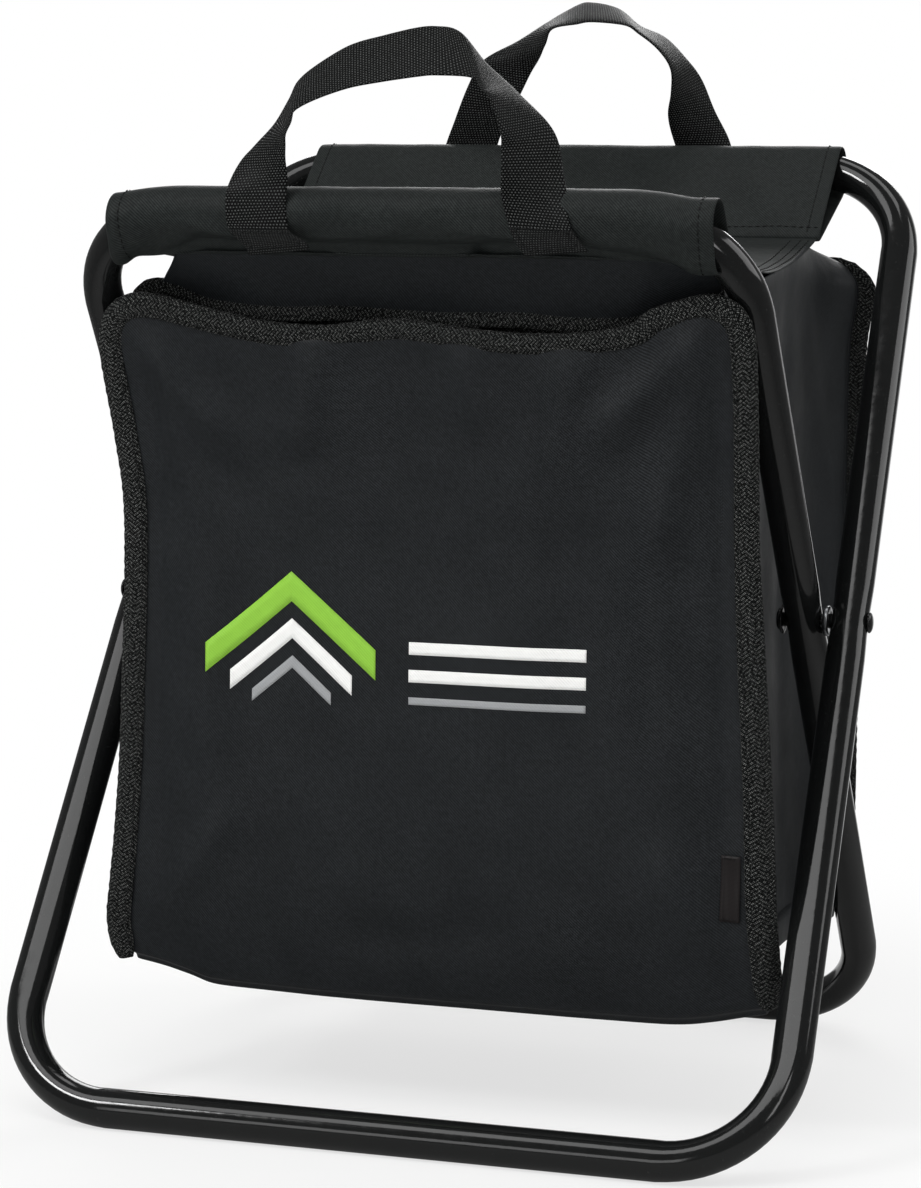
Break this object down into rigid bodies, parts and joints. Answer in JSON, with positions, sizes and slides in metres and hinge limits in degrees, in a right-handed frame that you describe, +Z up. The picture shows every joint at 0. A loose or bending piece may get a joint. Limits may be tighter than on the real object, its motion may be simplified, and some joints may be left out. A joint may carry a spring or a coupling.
{
  "type": "folding cooler stool",
  "caption": "Folding stool with a black X-folding tube frame, a fabric seat, an insulated bag hung under it and webbing carry handles.",
  "frame": {"origin": "centre of the footprint, on the floor under the pivot line", "axes": "+X to the right across the stool, along the pivot line and the floor bars; -Y towards the front, where the pocket and the zip are; +Z up"},
  "size_m": [0.3346, 0.2914, 0.4579],
  "materials": {
    "black_enamel": "gloss",
    "bright_steel": "satin",
    "black_rivet": "gloss",
    "polyester": "matte twill",
    "foil_lining": "satin",
    "binding_tape": "matte knit tape",
    "webbing": "satin webbing",
    "black_plastic": "satin"
  },
  "bodies": {
    "outer_frame": {"outer_frame_tube": "black_enamel", "outer_frame_splice": "bright_steel", "pivot_rivet_left": "black_rivet", "pivot_rivet_right": "black_rivet", "pivot_spacer_left": "bright_steel", "pivot_spacer_right": "bright_steel", "pivot_washer_left": "bright_steel", "pivot_washer_right": "bright_steel"},
    "inner_frame": {"inner_frame_tube": "black_enamel", "inner_frame_splice": "bright_steel"},
    "front_cover": {"front_sleeve": "polyester", "front_upper_panel": "polyester", "upper_binding": "binding_tape", "zip_tape": "black_plastic", "front_panel": "polyester", "pocket_panel": "polyester", "pocket_binding": "binding_tape", "front_binding": "binding_tape", "side_label": "binding_tape", "front_handle_tab_left": "webbing", "front_handle_tab_right": "webbing"},
    "rear_cover": {"rear_sleeve": "polyester", "rear_upper_panel": "polyester", "seat_panel": "polyester", "gusset_left": "polyester", "gusset_right": "polyester", "bottom_panel": "polyester", "cooler_liner": "foil_lining", "back_panel": "polyester", "back_binding": "binding_tape", "rear_handle_tab_left": "webbing", "rear_handle_tab_right": "webbing"},
    "front_handle": {"front_handle_loop": "webbing"},
    "rear_handle": {"rear_handle_loop": "webbing"},
    "zip_slider": {"zip_slider": "black_plastic"},
    "zip_pull": {"zip_pull": "black_plastic"}
  },
  "joints": [
    {"name": "fold", "type": "hinge", "parent": "outer_frame", "child": "inner_frame", "pos_m": [0, 0, 0.201], "axis": [-1, 0, 0], "range_deg": [0, 52], "deforming": ["seat_panel", "gusset_left", "gusset_right", "bottom_panel", "cooler_liner", "front_binding", "pocket_binding", "back_binding"]},
    {"name": "front_cover_turn", "type": "hinge", "parent": "inner_frame", "child": "front_cover", "pos_m": [0, -0.11639, 0.364], "axis": [1, 0, 0], "range_deg": [0, 26]},
    {"name": "rear_cover_turn", "type": "hinge", "parent": "outer_frame", "child": "rear_cover", "pos_m": [0, 0.13209, 0.386], "axis": [-1, 0, 0], "range_deg": [0, 26]},
    {"name": "front_handle_swing", "type": "hinge", "parent": "front_cover", "child": "front_handle", "pos_m": [0, -0.12729, 0.37095], "axis": [1, 0, 0], "range_deg": [-50, 110]},
    {"name": "rear_handle_swing", "type": "hinge", "parent": "rear_cover", "child": "rear_handle", "pos_m": [0, 0.14299, 0.39295], "axis": [-1, 0, 0], "range_deg": [-50, 110]},
    {"name": "zip_run", "type": "slide", "parent": "front_cover", "child": "zip_slider", "axis": [1, 0, 0], "range_m": [-0.191, 0]},
    {"name": "zip_pull_lift", "type": "hinge", "parent": "zip_slider", "child": "zip_pull", "pos_m": [0.10165, -0.09423, 0.32165], "axis": [0, 0, 1], "range_deg": [0, 15]}
  ],
  "couplings": [
    {"joint": "front_cover_turn", "follows": "fold", "ratio": 0.5},
    {"joint": "rear_cover_turn", "follows": "fold", "ratio": 0.5}
  ]
}
